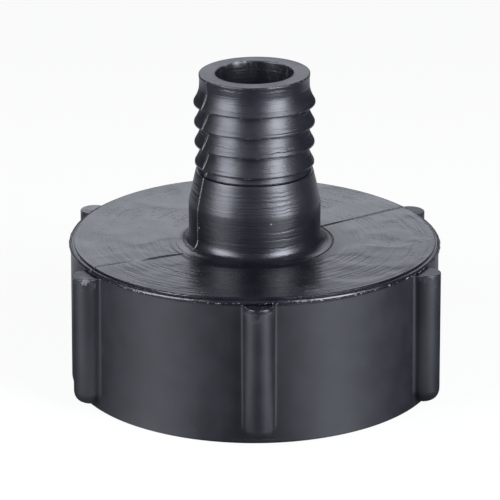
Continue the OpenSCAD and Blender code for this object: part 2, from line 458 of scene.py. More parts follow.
def thread_grid():
    """Rows that climb one pitch a turn. Height is a start plus the pitch times the turn, held
    between the mouth and the seat; radius is the crest's plus the groove's depth there."""
    turn = (base_angles - base_angles[0]) / (2 * math.pi)
    middle_turn = (base_angles - math.pi / 2) / (2 * math.pi)
    repeats = np.arange(-2, int(THREAD_TOP / PITCH) + 2) * PITCH
    phases = np.sort((repeats[:, None] + GROOVE[None, :, 0]).ravel())
    shift = PITCH * (turn - middle_turn)[0]
    starts = phases - shift
    starts = starts[(starts > ENTRY_Z - PITCH - 1) & (starts < THREAD_TOP + 1)]
    z = np.clip(starts[:, None] + PITCH * turn[None, :], ENTRY_Z, THREAD_TOP)
    radius = THREAD_R + (ROOT_R - THREAD_R) * groove_depth(z - PITCH * middle_turn)
    lead = SEAT_R - (SEAT_R - THREAD_R) * (z - ENTRY_Z) / LEAD_IN
    radius = np.maximum(radius, lead)
    return placed(base_angles, radius, z)


thread_rows = thread_grid()
print("thread:", thread_rows.shape[0], "climbing rows")

# %% [markdown]
# Above the thread comes the seat that the gasket lies against, and then the bore, which is wide
# at its foot and narrows to the tail's. These rows are plain again, so they close the skin by
# running back up to the mouth's inner edge.

# %% Outline of the seat and the bore
def inside_outline():
    """From the thread's top over the gasket's seat, across the disc's underside and up the bore."""
    bore_top = MOUTH_Z - CHAMFER
    return np.concatenate([
        line((SEAT_R - 0.15, THREAD_TOP), (SEAT_R, THREAD_TOP + 0.15), 1),
        line((SEAT_R, THREAD_TOP + 0.15), (SEAT_R, SEAT_Z - 0.2), 3),
        line((SEAT_R, SEAT_Z - 0.2), (SEAT_R - 0.2, SEAT_Z), 1),
        line((SEAT_R - 0.2, SEAT_Z), (THROAT_R + 0.4, SEAT_Z), 5),
        arc((THROAT_R + 0.4, SEAT_Z + 0.4), 0.4, 270, 180, 3),
        line((THROAT_R - 0.1, SEAT_Z + 1), (BORE_R, BORE_Z), 4),
        line((BORE_R, BORE_Z), (BORE_R, bore_top), 6),
        [(BORE_R, bore_top), (BORE_R + 0.1, MOUTH_Z - 0.1)],
    ])


# %% [markdown]
# A grid of points becomes a mesh in one go: four neighbours make a face, points closer than a
# ten-thousandth of a millimetre are taken as one, and faces that lose a corner by that become
# triangles or vanish. Numbers painted on the points, such as how much of an edge a point is,
# stay with them as attributes for the finish to read.

# %% From a grid to a mesh
WELD_MM = 1e-4
WELD_SHIFT = 0.377
SHARP_FROM = math.radians(42)


def woven_mesh(name, grid, marks):
    """Weld a grid of points into a mesh object at the origin and return it."""
    points = grid.reshape(-1, 3)
    keys = np.floor(points / WELD_MM + WELD_SHIFT).astype(np.int64)
    _, first, where = np.unique(keys, axis=0, return_index=True, return_inverse=True)
    where = where.reshape(grid.shape[:2])
    quads = np.stack([where[:-1, :-1], where[1:, :-1], where[1:, 1:], where[:-1, 1:]], axis=-1)
    quads = quads.reshape(-1, 4)
    same = quads == np.roll(quads, -1, axis=1)
    crossed = (quads[:, 0] == quads[:, 2]) | (quads[:, 1] == quads[:, 3])
    whole = quads[(same.sum(axis=1) == 0) & ~crossed]
    cut = (same.sum(axis=1) == 1) & ~crossed
    keep = np.argsort(same[cut], axis=1, kind="stable")[:, :3]
    triangles = np.take_along_axis(quads[cut], np.sort(keep, axis=1), axis=1)
    mesh = bpy.data.meshes.new(name)
    mesh.from_pydata((points[first] * MM).tolist(), [], whole.tolist() + triangles.tolist())
    for mark, values in marks.items():
        layer = mesh.attributes.new(mark, "FLOAT", "POINT")
        layer.data.foreach_set("value", values.reshape(-1)[first].astype(np.float32))
    mesh.shade_smooth()
    mesh.set_sharp_from_angle(angle=SHARP_FROM)
    piece = in_scene(name, mesh)
    even = piece.modifiers.new("even_normals", "WEIGHTED_NORMAL")
    even.keep_sharp = True
    faces, volume = len(mesh.polygons), round(signed_volume(mesh), 1)
    print(name, len(mesh.vertices), "points,", faces, "faces, volume", volume, "mm3")
    return piece


def signed_volume(mesh):
    """Volume in cubic millimetres, which is negative when the faces look inwards."""
    solid = bmesh.new()
    solid.from_mesh(mesh)
    volume = solid.calc_volume(signed=True) / MM**3
    solid.free()
    return volume


# %% [markdown]
# What follows bends and marks whole grids at once. It asks every point where it is: its turn
# round the axis, its distance from it, and how near it lies to some value. Two soft curves, a
# bell and a smooth step, turn such an answer into a share between none and one.

# %% Helpers on whole grids
def turn_of(grid):
    """Angle round the axis of every point, 0 at the front rib and rising towards +X."""
    return np.arctan2(grid[..., 0], -grid[..., 1])


def reach_of(grid):
    """Distance of every point from the axis."""
    return np.hypot(grid[..., 0], grid[..., 1])


def near(values, target, width):
    """Bell curve: one where the values equal the target, and fading over the width."""
    return np.exp(-(((values - target) / width) ** 2))


def ease(values, low, high):
    """Smooth step from 0 at low to 1 at high: three t squared less two t cubed."""
    t = np.clip((values - low) / (high - low), 0, 1)
    return t * t * (3 - 2 * t)


def stretch(values, start, rise, end, fall):
    """One from start to end, by a smooth step up over the rise and one down over the fall."""
    return ease(values, start, start + rise) * (1 - ease(values, end - fall, end))


def moved(grid, scale, lift):
    """Points drawn away from the axis by a scale, and lifted."""
    return np.stack([grid[..., 0] * scale, grid[..., 1] * scale, grid[..., 2] + lift], axis=-1)


def outward(grid):
    """Unit normals of a grid: the cross product of its two directions, by finite differences."""
    down = np.gradient(grid, axis=0)
    along = np.gradient(grid, axis=1)
    normal = np.cross(down, along)
    return normal / np.maximum(np.linalg.norm(normal, axis=2, keepdims=True), 1e-9)


# %% [markdown]
# A cap cools unevenly: its top tips and folds by a quarter of a millimetre, the ribs' ends stand
# up a little, and the mouth's cut isn't quite level. Straight from a lathe the model would look
# too perfect, so smooth waves of the turn and of twice the turn lift the finished rows. They
# leave the rim flat on the floor.

# %% Settling of the moulding
TIP_SIDE = -0.224
TIP_FRONT = -0.006
FOLD_COS = 0.16
FOLD_SIN = 0.196
FRONT_RISE = 0.15
FRONT_SPREAD = math.radians(12)
RIB_END_FROM, RIB_END_TO = 23, 27
RIB_FOOT_FROM, RIB_FOOT_TO = 1, 6
RIB_END_RISE = np.array([0.38, 0.1, 0.1, 0.1, 0.1, 0.0])
RIB_FOOT_RISE = np.array([0.35, -0.2, 0.0, 0.0, 0.0, 0.0])
RIB_SHORT = np.array([0.0, 0.1, 0.0, 0.0, 0.0, 0.13])
MOUTH_TILT = (0.0108, 0.0168)
MOUTH_TILT_FROM = MOUTH_Z - 2.6
TAIL_REACH = 13


def mouth_lift(grid, level):
    """Lift by the mouth's tilt: a plane through the axis, by a share that grows to one at the
    given level under the mouth."""
    tilt = MOUTH_TILT[0] * grid[..., 0] + MOUTH_TILT[1] * grid[..., 1]
    share = ease(grid[..., 2], MOUTH_TILT_FROM, MOUTH_Z - level)
    return tilt * share * (reach_of(grid) < TAIL_REACH)


def settled(grid):
    """Lift points by the tip (a wave of the turn), the fold (a wave of twice the turn), the rise
    of each rib's end and foot, and the mouth's tilt."""
    turn, reach, height = turn_of(grid), reach_of(grid), grid[..., 2]
    share = reach / DISC_R
    tip = TIP_FRONT * np.cos(turn) + TIP_SIDE * np.sin(turn)
    fold = FOLD_COS * np.cos(2 * turn) + FOLD_SIN * np.sin(2 * turn)
    lift = share * tip + share**2 * fold + FRONT_RISE * near(turn, 0, FRONT_SPREAD)
    lift = lift * np.clip(height / RIDGE_Z, 0, 1) * ease(reach, TAIL_REACH, RING_R + 0.1)
    rib = np.round(turn / (2 * math.pi / RIB_COUNT)).astype(int) % RIB_COUNT
    out = ease(reach, RIDGE_R + 0.05, RIDGE_R + 1.4)
    lift = lift + RIB_END_RISE[rib] * out * ease(height, RIB_END_FROM, RIB_END_TO)
    foot = 1 - ease(height, RIB_FOOT_FROM, RIB_FOOT_TO)
    lift = lift + RIB_FOOT_RISE[rib] * out * foot
    lift = lift + mouth_lift(grid, 1.0)
    shrink = 1 - RIB_SHORT[rib] * out / reach
    return moved(grid, shrink, lift)


# %% [markdown]
# The mould's two halves met in one upright plane. The joint shows all the way: as a thin bead
# down the tail that bridges the notches as a fin, as an open slit with a small flap behind it on
# the left of the disc, and as a fine crack on its right. It could be cut with booleans, but the
# skin already has close columns there, so the points near the plane are moved along their
# normals by bell curves instead. The ring round the root is sunk in the same way.

# %% Parting line
PART_TURN = math.radians(-60)
BEAD_HEIGHT = 0.1
BEAD_WIDTH = 0.12
FIN = 2.0
SLIT_DEPTH = 0.4
SLIT_WIDTH = 0.2
SLIT_FROM, SLIT_TO = 15.6, 25.0
CRACK_FROM = 14.6
CRACK_SHARE = 0.45
FLAP_HEIGHT = 0.1
FLAP_WIDTH = 2.2
RING_TURN, RING_SPREAD = math.radians(85), math.radians(48)


def from_parting(grid):
    """Distance of every point from the plane in which the mould's halves met."""
    return reach_of(grid) * np.sin(turn_of(grid) - PART_TURN)


def along_parting(grid):
    """Distance of every point from the axis along that plane, positive at the front left."""
    return reach_of(grid) * np.cos(turn_of(grid) - PART_TURN)


def slit_share(grid):
    """Where the joint is open: a slit on the disc's left and a crack all along its right."""
    along = along_parting(grid)
    left = stretch(along, SLIT_FROM, 2.5, SLIT_TO, 2)
    right = stretch(-along, CRACK_FROM, 0.8, DISC_R, 0.5)
    return (left + CRACK_SHARE * right) * (grid[..., 2] < ROOT_Z + 1.5)


def bead_share(grid):
    """Where the joint stands proud: all the way down the tail, at both of its sides."""
    return stretch(grid[..., 2], ROOT_Z + 0.05, 0.45, MOUTH_Z - 0.05, 0.25)


def joint_wear_and_highlight_share(grid):
    """Where the joint is pale: rubbed down the tail, and a painted highlight on the disc beyond the
    slit.
    """
    beyond = ease(along_parting(grid), SLIT_TO - 0.5, SLIT_TO + 1) * (grid[..., 2] > RIDGE_Z + 0.2)
    return np.maximum(bead_share(grid), beyond * (reach_of(grid) < DISC_R + 0.1))


def ring_sink(grid):
    """Depth of the ring round the root: plain on the right, and almost none elsewhere."""
    groove = near(reach_of(grid), RING_R, 0.12) * (grid[..., 2] < ROOT_Z + 1)
    return RING_DEPTH * groove * (0.15 + 0.85 * near(turn_of(grid), RING_TURN, RING_SPREAD))


def flap_rise(grid):
    """Height of the flap behind the slit: a lens along it that rises towards the slit."""
    along, away = along_parting(grid), -from_parting(grid)
    lens = stretch(along, SLIT_FROM, 4.4, SLIT_TO + 0.8, 4.8)
    climb = np.clip(1 - away / np.maximum(FLAP_WIDTH * lens, 0.01), 0, 1) * (away > -0.02)
    return FLAP_HEIGHT * lens * climb


def with_parting_line(grid):
    """Move points along their normals: out for the bead and the flap, in for slit and ring."""
    away = from_parting(grid)
    web = FIN * np.clip(BARB_R - reach_of(grid), 0, BARB_R - NOTCH_R) * (grid[..., 2] > NECK_Z)
    step = BEAD_HEIGHT * bead_share(grid) * near(away, 0, BEAD_WIDTH) * (1 + web)
    step = step - SLIT_DEPTH * slit_share(grid) * near(away, 0, SLIT_WIDTH)
    step = step + flap_rise(grid) - ring_sink(grid)
    return grid + outward(grid) * step[..., None]


# %% [markdown]
# Now the rows come together in one loop: tail and disc, ribbed wall, rim, thread, seat, bore, and
# the first row again. The finish has to know where plastic wears, and where highlights are painted,
# which shape alone doesn't tell it. So marks are painted on the points, from where they lay before
# the cap settled.

# %% Marks for the finish
def crest_highlight_lines(reach, height):
    """One at the barbs' lower edges, where a painted highlight line goes: a bell curve of the
    height under each crest, added up.
    """
    on_barbs = (reach > BARB_R - 0.3) * (reach < BASE_R)
    under = FIRST_CREST_Z + 0.05 - BARB_PITCH * np.arange(BARB_COUNT)
    return on_barbs * sum(near(height, z, 0.09) for z in under)


def adapter_marks(plain):
    """Shares from 0 to 1: edges that chip with painted highlight lines along the rib tops and the
    crests' lower edges, the flash in nicks with a painted highlight, the joint rubbed on the tail
    with a painted highlight on the disc, and the open slit.
    """
    reach, height, away = reach_of(plain), plain[..., 2], from_parting(plain)
    rims = np.maximum(near(reach, LIP_R + MOUTH_FLARE, 0.22), near(reach, BORE_R + 0.2, 0.3))
    mouth = near(height, MOUTH_Z, 0.2) * rims
    # Rib tops: nicks and a painted highlight line along the edge.
    rib_edge_nicks_and_highlight = near(height, RIB_TOP - 0.05, 0.2) * (reach > WALL_TOP_R + 0.5)
    rib_edge_nicks_and_highlight = rib_edge_nicks_and_highlight * ease(reach, RIDGE_R + 1, RIDGE_R + 2.6)
    # Flash ridge: nicks and a painted highlight along it.
    flash = near(height, RIDGE_Z - 0.05, 0.16) * near(reach, RIDGE_R, 0.14)
    slit = slit_share(plain) * near(away, 0, SLIT_WIDTH * 1.2) * (height > SEAT_Z)
    return {
        # The edge mark holds the worn mouth rims and painted highlight lines on the rib tops and
        # crests.
        "edge": np.clip(mouth + 0.35 * rib_edge_nicks_and_highlight + 0.4 * crest_highlight_lines(reach, height), 0, 1),
        "flash": np.clip(flash, 0, 1),
        # The joint mark: rubbed on the tail, a painted highlight on the disc.
        "seam": joint_wear_and_highlight_share(plain) * near(away, 0, BEAD_WIDTH),
        "slit": slit,
    }


# %% Adapter
FLASH_WAVES = ((37, 1), (61, 2), (89, 0))
FLASH_SWELL = 0.035


def with_flash(grid):
    """Uneven thickness of the flash ridge: sine waves of the turn, out of step, move it in and
    out, where a bell curve of the height says that it is the ridge."""
    turn = turn_of(grid)
    waves = sum(np.sin(number * turn + start) for number, start in FLASH_WAVES)
    ridge = near(grid[..., 2], RIDGE_Z - 0.06, 0.12) * (reach_of(grid) > RIDGE_R - 0.09)
    return moved(grid, 1 + FLASH_SWELL * waves * ridge / RIDGE_R, 0)


def adapter_piece():
    """All the rows in one closed skin, with its marks. Inside, only the bore's end is tilted."""
    top, rim = turned(np.concatenate([tail_rows, disc_outline()])), turned(rim_outline())
    entry = turned(np.array([(SEAT_R, CHAMFER), (SEAT_R, ENTRY_Z - 0.05)]))
    inside = np.concatenate([entry, thread_rows, turned(inside_outline())])
    inside = moved(inside, 1, mouth_lift(inside, 0.4))
    outside = settled(np.concatenate([with_flash(with_parting_line(top)), wall_grid, rim]))
    loop = np.concatenate([outside, inside, outside[:1]])
    plain = np.concatenate([top, wall_grid, rim, inside, top[:1]])
    return woven_mesh("adapter_skin", loop, adapter_marks(plain))


adapter = adapter_piece()
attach(adapter, "root")
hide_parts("adapter")

# %% [markdown]
# The gasket is a flat ring of soft black rubber, punched from sheet, so its edges are nearly
# square with a trace of a round. It lies against the disc inside the cap and shows from below.

# %% Gasket
GASKET_HOLE_R = 22


def gasket_piece():
    """A rectangle with rounded corners carried round the axis."""
    outer, inner, round_r = gasket_high.x, GASKET_HOLE_R, 0.25
    bottom, top = gasket_low.z, gasket_high.z
    outline = np.concatenate([
        arc((outer - round_r, bottom + round_r), round_r, -90, 0, 3),
        arc((outer - round_r, top - round_r), round_r, 0, 90, 3),
        line((outer - 1, top), (inner + 1, top), 3),
        arc((inner + round_r, top - round_r), round_r, 90, 180, 3),
        arc((inner + round_r, bottom + round_r), round_r, 180, 270, 3),
        line((inner + 1, bottom), (outer - 1, bottom), 3),
    ])[::-1]
    loop = turned(np.concatenate([outline, outline[:1]]))
    reach, height = reach_of(loop), loop[..., 2]
    sides = np.maximum(near(reach, inner, 0.3), near(reach, outer, 0.3))
    edge = sides * np.maximum(near(height, bottom, 0.3), near(height, top, 0.3))
    return woven_mesh("gasket_ring", loop, {"edge": edge})


gasket = gasket_piece()
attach(gasket, "root")
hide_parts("gasket")

# %% [markdown]
# Finishes are worked out by nodes from a point's place on the object, so they need no image and
# stay put when the camera moves. A formula of many nodes is hard to read as nodes, so this
# small helper adds a node and links it in one call, and the formula then reads as a line.

# %% Helper that wires nodes
class Wiring:
    """Adds nodes to one tree. Each method but put returns outputs of what it adds."""

    def __init__(self, tree):
        self.tree = tree

    def put(self, socket, value):
        """Link an output, or set a plain number or colour."""
        if isinstance(value, bpy.types.NodeSocket):
            self.tree.links.new(value, socket)
        else:
            socket.default_value = value

    def node(self, kind, inputs=(), **settings):
        """Any node, with its settings made and its inputs put, by their names or numbers."""
        node = self.tree.nodes.new("ShaderNode" + kind)
        for name, value in settings.items():
            setattr(node, name, value)
        for name, value in dict(inputs).items():
            self.put(node.inputs[name], value)
        return node.outputs

    def maths(self, operation, *values):
        """One Math node."""
        return self.node("Math", enumerate(values), operation=operation)[0]

    def total(self, *values):
        """Sum of several numbers."""
        return reduce(lambda a, b: self.maths("ADD", a, b), values)

    def times(self, *values):
        """Product of several numbers."""
        return reduce(lambda a, b: self.maths("MULTIPLY", a, b), values)

    def sum_of(self, *rows):
        """Sum of products. A row holds the factors of one."""
        return self.total(*(self.times(*row) for row in rows))

    def reach(self, x, y):
        """Distance from the axis: the square root of x squared plus y squared."""
        return self.maths("SQRT", self.sum_of((x, x), (y, y)))

    def bell(self, value, centre, width):
        """e to the minus square of the distance from a centre over a width."""
        off = self.maths("DIVIDE", self.maths("SUBTRACT", value, centre), width)
        return self.maths("EXPONENT", self.times(off, off, -1.0))

    def ramp(self, value, low, high, to_low=0.0, to_high=1.0):
        """Smooth step from low to high, mapped to another range."""
        names = ("Value", "From Min", "From Max", "To Min", "To Max")
        inputs = zip(names, (value, low, high, to_low, to_high))
        return self.node("MapRange", inputs, interpolation_type="SMOOTHSTEP")["Result"]

    def noise(self, vector, scale, detail=2.0):
        """Noise from about 0.2 to 0.8."""
        return self.node("TexNoise", {"Vector": vector, "Scale": scale, "Detail": detail})["Fac"]

    def apart(self, vector, place):
        """Distance between a point and a fixed place."""
        return self.node("VectorMath", {0: vector, 1: place}, operation="DISTANCE")["Value"]

    def parts(self, vector):
        """The three numbers of a vector."""
        return tuple(self.node("SeparateXYZ", {0: vector}))

    def vector(self, *numbers):
        """A vector from three numbers."""
        return self.node("CombineXYZ", enumerate(numbers))[0]

    def mix(self, share, first, second):
        """Colour mix."""
        return self.node("Mix", {0: share, 6: first, 7: second}, data_type="RGBA")[2]

    def group(self, tree, **values):
        """A node group, which has one output."""
        return self.node("Group", values, node_tree=tree)[0]

    def attribute(self, name):
        """A number painted on the mesh's points."""
        return self.node("Attribute", attribute_name=name)["Fac"]

    def place_in_mm(self):
        """Object coordinates in millimetres."""
        inputs = {0: self.node("TexCoord")["Object"], "Scale": 1 / MM}
        return self.node("VectorMath", inputs, operation="SCALE")[0]


def new_group(name, output, formula, **numbers):
    """A node group with a Place vector and named numbers in, and one number out: what the
    formula makes of them."""
    tree = bpy.data.node_groups.new(name, "ShaderNodeTree")
    tree.interface.new_socket("Place", in_out="INPUT", socket_type="NodeSocketVector")
    for label, value in numbers.items():
        socket = tree.interface.new_socket(label, in_out="INPUT", socket_type="NodeSocketFloat")
        socket.default_value = value
    tree.interface.new_socket(output, in_out="OUTPUT", socket_type="NodeSocketFloat")
    given = tree.nodes.new("NodeGroupInput").outputs[: len(numbers) + 1]
    wiring = Wiring(tree)
    wiring.put(tree.nodes.new("NodeGroupOutput").inputs[0], formula(wiring, *given))
    return tree


# %% [markdown]
# Three effects are used by both materials, so each is a node group. The mould's turned steel leaves
# fine rings round the axis. Handling leaves small scuffs and specks. And an edge wears pale in
# nicks, not evenly, so its mark is broken up by noise; the moulding's painted highlight lines are
# broken up the same way.

# %% Group: turned rings
RINGS_WAVER = 0.7
RINGS_ALONG_TURN = 0.06


def turned_rings(wiring, place, pitch, waver):
    """Noise of the height less the radius, over the pitch, drawn out along the turn."""
    x, y, z = wiring.parts(place)
    waver = wiring.times(wiring.noise(place, RINGS_WAVER, 1.0), waver)
    fall = wiring.maths("SUBTRACT", z, wiring.reach(x, y))
    run = wiring.maths("DIVIDE", wiring.total(fall, waver), pitch)
    drawn = wiring.vector(run, *(wiring.times(side, RINGS_ALONG_TURN) for side in (x, y)))
    return wiring.noise(drawn, 1.0, 1.0)


RINGS = new_group("turned_rings", "Height", turned_rings, Pitch=0.5, Waver=0.3)

# %% Group: scuffs and specks
SCUFF_LEVEL = 0.85
SCUFF_PATCHES = 0.12


def scuffs(wiring, place, size, share):
    """Noise cut off at a level, so that only its peaks show, in patches of coarser noise."""
    fine = wiring.noise(place, wiring.maths("DIVIDE", 1.0, size), 2.0)
    patch = wiring.noise(place, wiring.maths("DIVIDE", SCUFF_PATCHES, size), 2.0)
    share = wiring.times(share, wiring.ramp(patch, 0.4, 0.65))
    level = wiring.maths("SUBTRACT", SCUFF_LEVEL, share)
    return wiring.ramp(fine, level, wiring.total(level, 0.06))


SCUFFS = new_group("scuffs", "Mask", scuffs, Size=0.3, Share=0.3)

# %% Group: edge marks in nicks
NICK_LEVEL = 0.75


def worn_edges(wiring, place, edge, size, share):
    """An edge mark painted on the points, of wear and painted highlight, times noise cut off at a
    level.
    """
    nicks = wiring.noise(place, wiring.maths("DIVIDE", 1.0, size), 2.0)
    level = wiring.maths("SUBTRACT", NICK_LEVEL, wiring.times(share, 0.4))
    return wiring.times(edge, wiring.ramp(nicks, level, wiring.total(level, 0.12)))


EDGES = new_group("worn_edges", "Mask", worn_edges, Edge=0.0, Size=0.4, Share=0.5)
print("groups:", [tree.name for tree in (RINGS, SCUFFS, EDGES)])

# %% A new material and its relief
def new_material(name):
    """A material's Principled shader and the wiring of its tree."""
    material = bpy.data.materials.new(name)
    material.use_nodes = True
    return material, material.node_tree.nodes["Principled BSDF"], Wiring(material.node_tree)


def set_relief(wiring, shader, height, depth):
    """Bump the surface by a height, where a height of one is a depth in millimetres."""
    bump = wiring.node("Bump", {"Distance": depth * MM, "Height": height})
    wiring.put(shader.inputs["Normal"], bump["Normal"])


# %% [markdown]
# The moulding is a tough plastic coloured through with soot black. It has a satin gloss: broad
# highlights, and a bright sheen where it is seen at a low angle. So its own colour is nearly black
# and everything that shows is reflection, which the fine rings stretch and break. Where it is
# nicked or rubbed it turns pale grey and dull, and the same pale grey is painted as highlights
# along the flash ridge, the crests' lower edges, the ribs' top edges and the joint on the disc.

# %% A hairline scratch
HAIRLINE = [
    (19.0, -4.0), (22.0, -3.9), (24.0, -5.0), (27.5, -5.8),
    (30.2, -4.6), (33.0, -2.9), (36.0, -1.2),
]
HAIR_FRONT = 8.0
HAIR_WAVES = 0.7
HAIR_SWING = 1.4
HAIR_WIDTH = 0.22


def hairline_mask(wiring, x, y, z):
    """A wavy scratch on the disc: a bell curve of the distance in y from a curve through a few
    points, which noise bends."""
    curve = wiring.tree.nodes.new("ShaderNodeFloatCurve")
    points = curve.mapping.curves[0].points
    start, span = HAIRLINE[0][0], HAIRLINE[-1][0] - HAIRLINE[0][0]
    places = [((px - start) / span, (py + HAIR_FRONT) / HAIR_FRONT) for px, py in HAIRLINE]
    points[0].location, points[1].location = places[0], places[-1]
    for place in places[1:-1]:
        points.new(*place)
    curve.mapping.update()
    along = wiring.maths("DIVIDE", wiring.maths("SUBTRACT", x, start), span)
    wiring.put(curve.inputs["Value"], along)
    bent = wiring.total(wiring.times(curve.outputs[0], HAIR_FRONT), -HAIR_FRONT)
    wave = wiring.times(wiring.noise(wiring.vector(x, 0.0, 0.0), HAIR_WAVES, 1.0), HAIR_SWING)
    line_mask = wiring.bell(y, wiring.total(bent, wave, -HAIR_SWING / 2), HAIR_WIDTH)
    above = wiring.ramp(z, ROOT_Z - 0.4, ROOT_Z)
    below = wiring.ramp(z, ROOT_Z + 2.5, ROOT_Z + 1.5)
    return wiring.times(line_mask, wiring.ramp(x, start - 0.5, start + 2), above, below)


# %% [markdown]
# The finish is built in three parts: marks, relief, and the colour and gloss. The marks are shares
# of how pale the plastic is: what is worn, together with painted highlights along the flash ridge,
# the crests and the rib tops, all of which is dull as well; and thin lines, a scratch and a painted
# highlight along the joint on the disc, which are pale but not dull. Single chips are bell curves
# round named places.

# %% Marks on the moulding
SPOTS = {
    "chip on the base": ((2.86, -12.58, 34.94), 0.16, 0.5),
    "dot on the line": ((-10.89, -6.91, 32.39), 0.17, 0.6),
    "burr on a barb": ((-11.3, -2.4, 50.6), 0.3, 0.25),
    "rub on a barb": ((-6.6, -9.1, 52.5), 1.1, 0.1),
    "left chip in the mouth": ((-3.4, 7.1, 61.55), 0.6, 0.9),
    "next chip in the mouth": ((-1.8, 7.6, 61.6), 0.4, 0.6),
    "right chip in the mouth": ((3.7, 7.2, 61.6), 0.4, 0.6),
    "chip at the mouth's side": ((-5.6, 5.6, 61.5), 0.4, 0.5),
}


def broken_mark(wiring, place, name, size, share):
    """One of the marks painted on the points, of wear and painted highlight, broken up into nicks
    by the edge group.
    """
    return wiring.group(EDGES, Place=place, Edge=wiring.attribute(name), Size=size, Share=share)


def moulding_marks(wiring, place, reach):
    """Two numbers: how pale and dull a point is, from wear, chips and painted highlights along the
    flash, the crests and the rib tops, and how much of a pale line it is, from the scratch and the
    painted highlight along the joint on the disc.
    """
    x, y, z = wiring.parts(place)
    seam = broken_mark(wiring, place, "seam", 0.9, 0.95)
    rib_scuff = wiring.times(
        wiring.group(SCUFFS, Place=place, Size=0.25, Share=0.5),
        wiring.ramp(reach, RIDGE_R + 0.2, RIDGE_R + 0.8),
        wiring.ramp(z, RIB_TOP - 2.8, RIB_TOP - 0.1),
        wiring.ramp(x, -10.0, -25.0, 0.15, 1.0),
    )
    spots = (
        (wiring.bell(wiring.apart(place, centre), 0.0, size), strength)
        for centre, size, strength in SPOTS.values()
    )
    pale_marks = wiring.sum_of(
        # The flash ridge and the edges: wear, and painted highlight lines.
        (broken_mark(wiring, place, "flash", 0.45, 0.42), 0.9),
        (broken_mark(wiring, place, "edge", 0.5, 0.45), 0.55),
        (seam, wiring.ramp(z, ROOT_Z + 1.3, ROOT_Z + 2.5, 0.0, 0.1)),
        (wiring.group(SCUFFS, Place=place, Size=0.22, Share=0.16), 0.12),
        (rib_scuff, 0.3),
        *spots,
    )
    # Pale lines: the hairline scratch, and a painted highlight along the joint on the disc.
    scratch_and_highlight_lines = wiring.sum_of(
        (seam, wiring.ramp(z, ROOT_Z + 2.5, ROOT_Z + 1.3, 0.0, 0.35)),
        (hairline_mask(wiring, x, y, z), 0.3),
    )
    return pale_marks, scratch_and_highlight_lines


# %% [markdown]
# The relief is what makes the moulding look moulded. The disc shows rings in patches, with
# chatter between them, and lies in slow waves. The barbs have fine rings that stretch their
# highlights sideways, and everything has a grain.

# %% Relief of the moulding
RIPPLE_PITCH = 1.9


def moulding_relief(wiring, place, reach, z, grain):
    """Sum of the rings, the chatter, the ripples, the waves and the grain, each with its weight
    where it belongs."""
    above = wiring.ramp(z, RIB_TOP - 0.1, RIB_TOP + 0.2)
    on_disc = wiring.times(above, wiring.ramp(reach, RING_R + 0.1, RING_R + 2.6))
    patch = wiring.ramp(wiring.noise(place, 0.11, 1.0), 0.42, 0.62, 0.25, 1.0)
    coarse = wiring.group(RINGS, Place=place, Pitch=0.6, Waver=0.7)
    broad = wiring.group(RINGS, Place=place, Pitch=1.3, Waver=0.5)
    fine = wiring.group(RINGS, Place=place, Pitch=0.24, Waver=0.2)
    chatter = wiring.noise(place, 1.6, 1.0)
    ripple = wiring.maths("SINE", wiring.times(reach, 2 * math.pi / RIPPLE_PITCH))
    return wiring.sum_of(
        (coarse, above, patch, 2.6),
        (broad, on_disc, patch, 0.6),
        (chatter, on_disc, patch, 0.8),
        (ripple, on_disc, 0.11),
        (wiring.noise(place, 0.14, 1.0), on_disc, 3.0),
        (fine, wiring.ramp(z, NECK_Z, NECK_Z + 2, 0.12, 0.57)),
        (grain, wiring.ramp(z, ROOT_Z + 1.5, ROOT_Z + 3.5, 0.06, 0.14)),
    )


# %% Black moulding
BLACK = (0.0036, 0.0038, 0.0064, 1)
SOOT = (0.006, 0.0063, 0.0095, 1)
# Pale grey of wear, also used for painted highlights along edges, ridges and the joint.
WEAR_AND_HIGHLIGHT_GREY = (0.3, 0.3, 0.31, 1)
WALL_DULL = 0.2
TAIL_DULL = 0.1
PLASTIC_IOR = 1.55
RELIEF_MM = 0.05


def black_moulding():
    """Satin black plastic: pale grey where it is worn and where highlights are painted, duller on
    the wall and the tail.
    """
    material, shader, wiring = new_material("black_moulding")
    place = wiring.place_in_mm()
    x, y, z = wiring.parts(place)
    reach = wiring.reach(x, y)
    grain = wiring.noise(place, 3.2, 3.0)
    mottle = wiring.noise(place, 0.22, 3.0)
    pale_marks, scratch_and_highlight_lines = moulding_marks(wiring, place, reach)

    pale = wiring.maths("MINIMUM", wiring.total(pale_marks, scratch_and_highlight_lines), 1.0)
    colour = wiring.mix(wiring.ramp(mottle, 0.3, 0.7), BLACK, SOOT)
    # Base colour: pale grey where worn and where highlights are painted.
    wiring.put(shader.inputs["Base Color"], wiring.mix(pale, colour, WEAR_AND_HIGHLIGHT_GREY))

    rough = wiring.total(
        wiring.ramp(mottle, 0.3, 0.7, 0.23, 0.27),
        wiring.ramp(z, ROOT_Z + 0.5, ROOT_Z + 3, 0.0, TAIL_DULL),
        wiring.ramp(z, RIB_TOP - 0.1, RIB_TOP + 0.3, WALL_DULL, 0.0),
        wiring.times(grain, 0.05),
        wiring.times(pale_marks, 0.5),
        wiring.times(wiring.attribute("slit"), 0.6),
    )
    wiring.put(shader.inputs["Roughness"], wiring.maths("MINIMUM", rough, 0.95))

    relief = moulding_relief(wiring, place, reach, z, grain)
    set_relief(wiring, shader, wiring.total(relief, wiring.times(pale_marks, 0.6)), RELIEF_MM)
    shader.inputs["IOR"].default_value = PLASTIC_IOR
    return material


adapter.data.materials.append(black_moulding())

# %% [markdown]
# The gasket's rubber is softer and duller than the plastic. It is dusted with the talc that
# keeps new rubber from sticking, has a fine grain from its sheet, and faint rings from its
# press.

# %% Black rubber
RUBBER = (0.012, 0.012, 0.013, 1)
GREY_RUBBER = (0.022, 0.022, 0.023, 1)
TALC = (0.3, 0.3, 0.3, 1)
RUBBER_RELIEF_MM = 0.04


